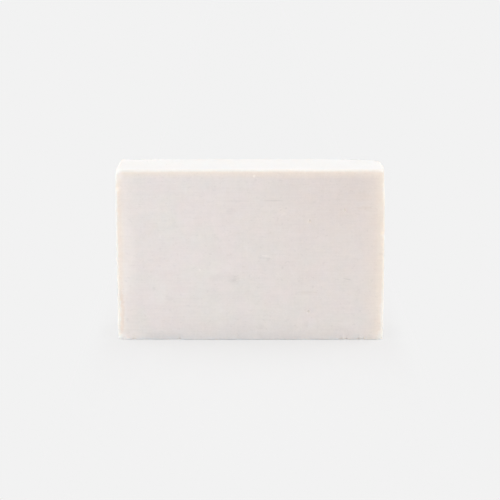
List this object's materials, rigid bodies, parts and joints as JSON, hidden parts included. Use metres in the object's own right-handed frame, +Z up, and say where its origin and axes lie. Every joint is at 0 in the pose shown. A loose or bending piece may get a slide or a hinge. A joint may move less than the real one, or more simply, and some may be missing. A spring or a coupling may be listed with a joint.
{
  "type": "bar of soap",
  "caption": "Plain rectangular bar of handmade soap, a cut slice with softly rounded edges, standing on one long narrow side, for washing hands and body.",
  "frame": {"origin": "middle of the foot, on the surface that the bar stands on", "axes": "+X along the bar's length, to the right as seen from the front; +Y through its thickness, from the front cut face to the back one; +Z up its height"},
  "size_m": [0.085, 0.025, 0.055],
  "materials": {
    "soap": "satin, waxy and slightly translucent, off-white with a faint pink cast and warmer edges"
  },
  "bodies": {
    "root": {"soap_bar": "soap"}
  },
  "joints": []
}
